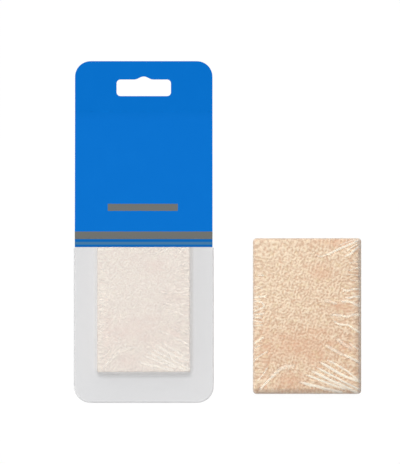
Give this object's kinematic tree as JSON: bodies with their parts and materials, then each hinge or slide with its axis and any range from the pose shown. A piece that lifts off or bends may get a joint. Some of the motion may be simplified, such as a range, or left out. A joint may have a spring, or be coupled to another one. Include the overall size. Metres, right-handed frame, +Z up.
{
  "type": "fabric cleaning eraser",
  "caption": "Carded crepe rubber eraser for suede and nubuck in a clear sliding blister under a blue header with a hang slot, and a loose film-wrapped block lying beside it.",
  "frame": {"origin": "bottom centre of the bounding box of the pack and the loose block, on the surface that they lie on", "axes": "+Z up out of the pack's front, +Y towards the hang slot, +X from the pack towards the loose block"},
  "size_m": [0.1702, 0.2024, 0.0153],
  "materials": {
    "grey_board": "smooth uncoated board, light grey",
    "printed_card": "satin printed card, blue with grey bands",
    "glue": "dried glue",
    "clear_sheet": "clear formed plastic sheet",
    "clear_film": "clear wrapping film with creases",
    "crepe_rubber": "granular crepe rubber, pale peach beige"
  },
  "bodies": {
    "card": {"backing_card": "grey_board", "header_card": "printed_card", "header_glue_upper": "glue", "header_glue_lower": "glue"},
    "blister": {"blister_shell": "clear_sheet", "packed_crepe_block": "crepe_rubber", "packed_film_wrap": "clear_film"},
    "loose_eraser": {"loose_crepe_block": "crepe_rubber", "loose_film_wrap": "clear_film"}
  },
  "joints": [
    {"name": "blister_slide", "type": "slide", "parent": "card", "child": "blister", "axis": [0, -1, 0], "range_m": [0, 0.106]},
    {"name": "loose_eraser_lift", "type": "slide", "parent": "card", "child": "loose_eraser", "axis": [0, 0, 1], "range_m": [0, 0.12]}
  ]
}
